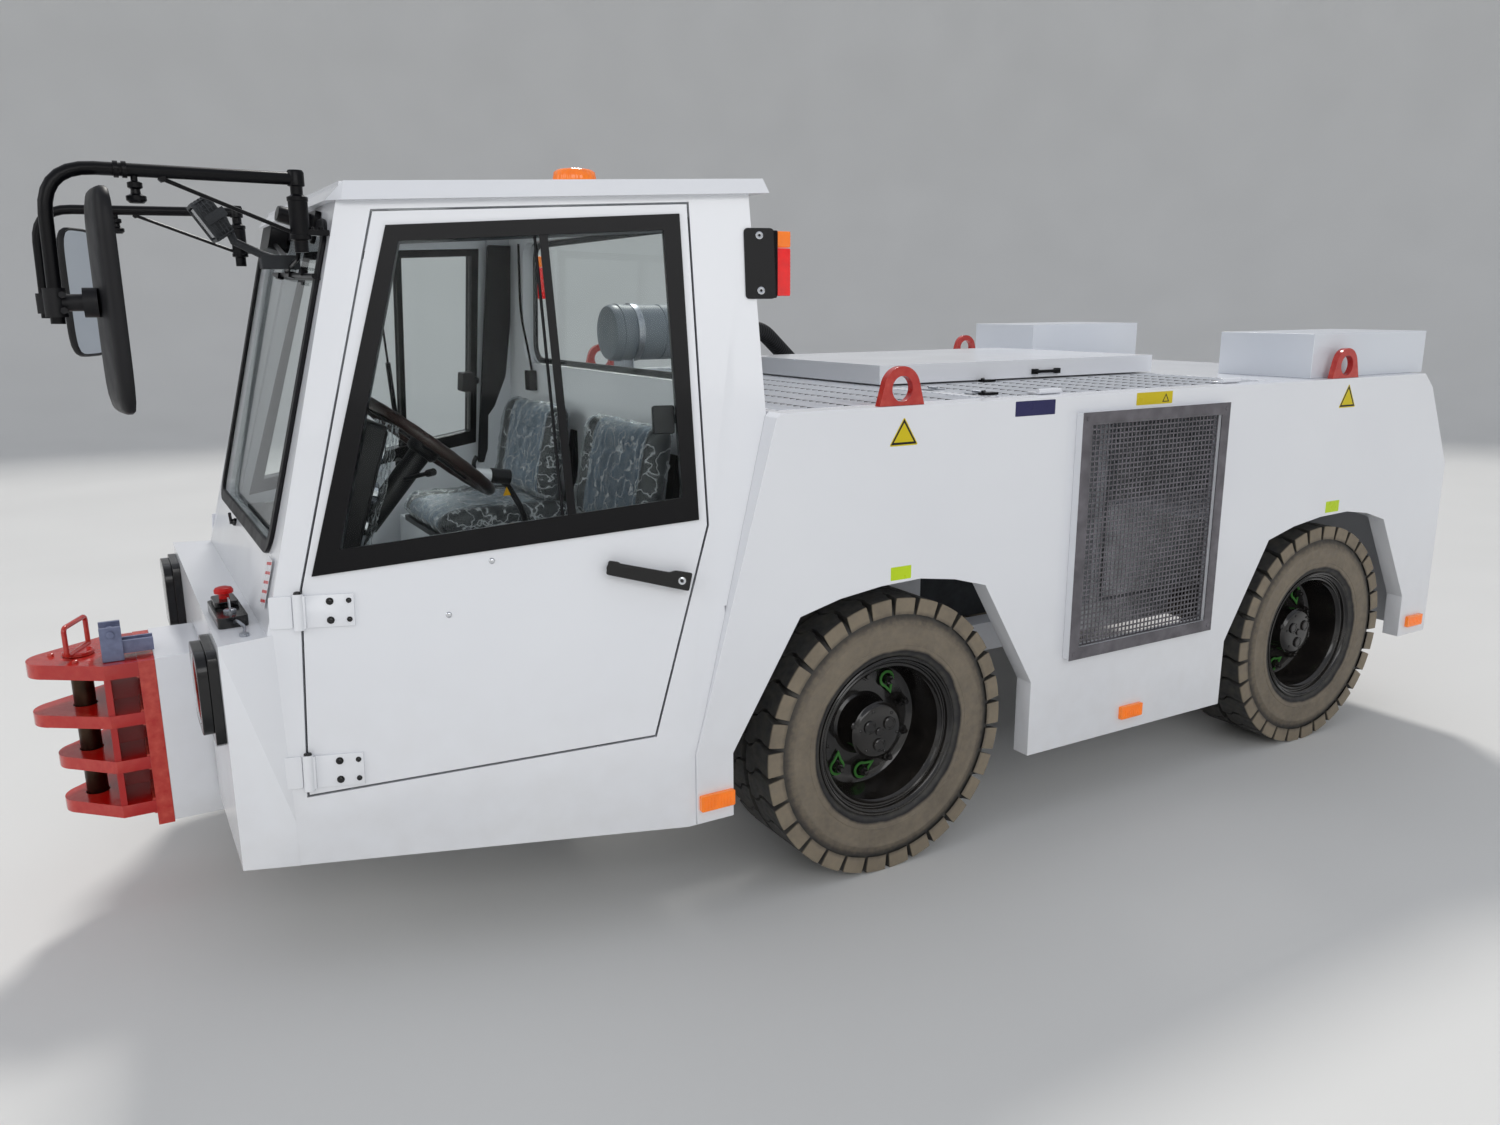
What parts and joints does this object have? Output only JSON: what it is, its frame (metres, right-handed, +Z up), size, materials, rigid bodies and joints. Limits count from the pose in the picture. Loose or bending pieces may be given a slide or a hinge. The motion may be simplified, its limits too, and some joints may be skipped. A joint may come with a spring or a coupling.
{
  "type": "airport baggage tug",
  "caption": "White airport tow tractor with a glazed forward cab, grated load deck, side grille, lifting eyes and a red multi-level tow jaw at each end.",
  "frame": {"origin": "middle of the vehicle's length and width, on the ground", "axes": "+X forward towards the cab, +Y to the vehicle's left, +Z up"},
  "size_m": [4.5006, 1.87, 1.8106],
  "materials": {
    "white_paint": "gloss white two-pack paint",
    "black_paint": "gloss black paint",
    "red_paint": "gloss red paint",
    "grille_paint": "satin dark grey paint",
    "cast_iron": "rough",
    "pin_steel": "oiled brown steel",
    "glass": "clear",
    "tyre": "dusty",
    "rubber": "matt",
    "dark_plastic": "grained",
    "seat_vinyl": "dark vinyl",
    "red_lens": "ribbed lens",
    "amber_lens": "ribbed lens"
  },
  "bodies": {
    "tug": {"chassis": "white_paint", "front_axle": "black_paint", "rear_axle": "black_paint", "side_panels": "white_paint", "rear_panel": "white_paint", "grilles": "grille_paint", "deck_frame": "white_paint", "deck_grating": "white_paint", "deck_boxes": "white_paint", "engine_block": "cast_iron", "tow_jaws": "red_paint", "tow_pins": "pin_steel", "cab_shell": "white_paint", "roof": "white_paint", "cab_glass": "glass", "window_seals": "rubber", "dashboard": "dark_plastic", "steering_wheel": "dark_plastic", "seats": "seat_vinyl", "lamps": "black_paint", "mirror_arms": "black_paint", "mirrors": "black_paint", "wiper": "black_paint", "tail_lamps": "red_lens", "amber_lamps": "amber_lens", "lifting_eyes": "red_paint", "air_intake": "rubber"},
    "lid": {"grating_lid": "white_paint"},
    "cover": {"engine_cover": "white_paint"},
    "door_l": {"door_left": "white_paint", "sash_left": "black_paint", "glass_left": "glass"},
    "door_r": {"door_right": "white_paint", "sash_right": "black_paint", "glass_right": "glass"},
    "steer_l": {"knuckle_left": "black_paint"},
    "steer_r": {"knuckle_right": "black_paint"},
    "wheel_body_fl": {"wheel_fl": "black_paint", "tyre_fl": "tyre"},
    "wheel_body_fr": {"wheel_fr": "black_paint", "tyre_fr": "tyre"},
    "wheel_body_rl": {"wheel_rl": "black_paint", "tyre_rl": "tyre"},
    "wheel_body_rr": {"wheel_rr": "black_paint", "tyre_rr": "tyre"}
  },
  "joints": [
    {"name": "door_left_hinge", "type": "hinge", "parent": "tug", "child": "door_l", "pos_m": [1.7271, 0.59124, 0.82785], "axis": [0.0504, 0.1456, -0.9881], "range_deg": [0, 80]},
    {"name": "door_right_hinge", "type": "hinge", "parent": "tug", "child": "door_r", "pos_m": [1.7271, -0.59124, 0.82785], "axis": [-0.0504, 0.1456, 0.9881], "range_deg": [0, 80]},
    {"name": "grating_lid_hinge", "type": "hinge", "parent": "tug", "child": "lid", "pos_m": [-0.4915, 0.844, 1.222], "axis": [-1, 0, 0], "range_deg": [0, 95]},
    {"name": "engine_cover_hinge", "type": "hinge", "parent": "tug", "child": "cover", "pos_m": [-0.4915, -0.3885, 1.227], "axis": [1, 0, 0], "range_deg": [0, 70]},
    {"name": "steer_left", "type": "hinge", "parent": "tug", "child": "steer_l", "pos_m": [0.3835, 0.57, 0.3666], "axis": [0, 0, 1], "range_deg": [-30, 30]},
    {"name": "steer_right", "type": "hinge", "parent": "tug", "child": "steer_r", "pos_m": [0.3835, -0.57, 0.3666], "axis": [0, 0, 1], "range_deg": [-30, 30]},
    {"name": "spin_fl", "type": "hinge", "parent": "steer_l", "child": "wheel_body_fl", "pos_m": [0.3835, 0.748, 0.3666], "axis": [0, 1, 0], "continuous": true},
    {"name": "spin_fr", "type": "hinge", "parent": "steer_r", "child": "wheel_body_fr", "pos_m": [0.3835, -0.748, 0.3666], "axis": [0, 1, 0], "continuous": true},
    {"name": "spin_rl", "type": "hinge", "parent": "tug", "child": "wheel_body_rl", "pos_m": [-1.3605, 0.748, 0.3666], "axis": [0, 1, 0], "continuous": true},
    {"name": "spin_rr", "type": "hinge", "parent": "tug", "child": "wheel_body_rr", "pos_m": [-1.3605, -0.748, 0.3666], "axis": [0, 1, 0], "continuous": true}
  ],
  "couplings": [
    {"joint": "steer_right", "follows": "steer_left", "ratio": 1}
  ]
}
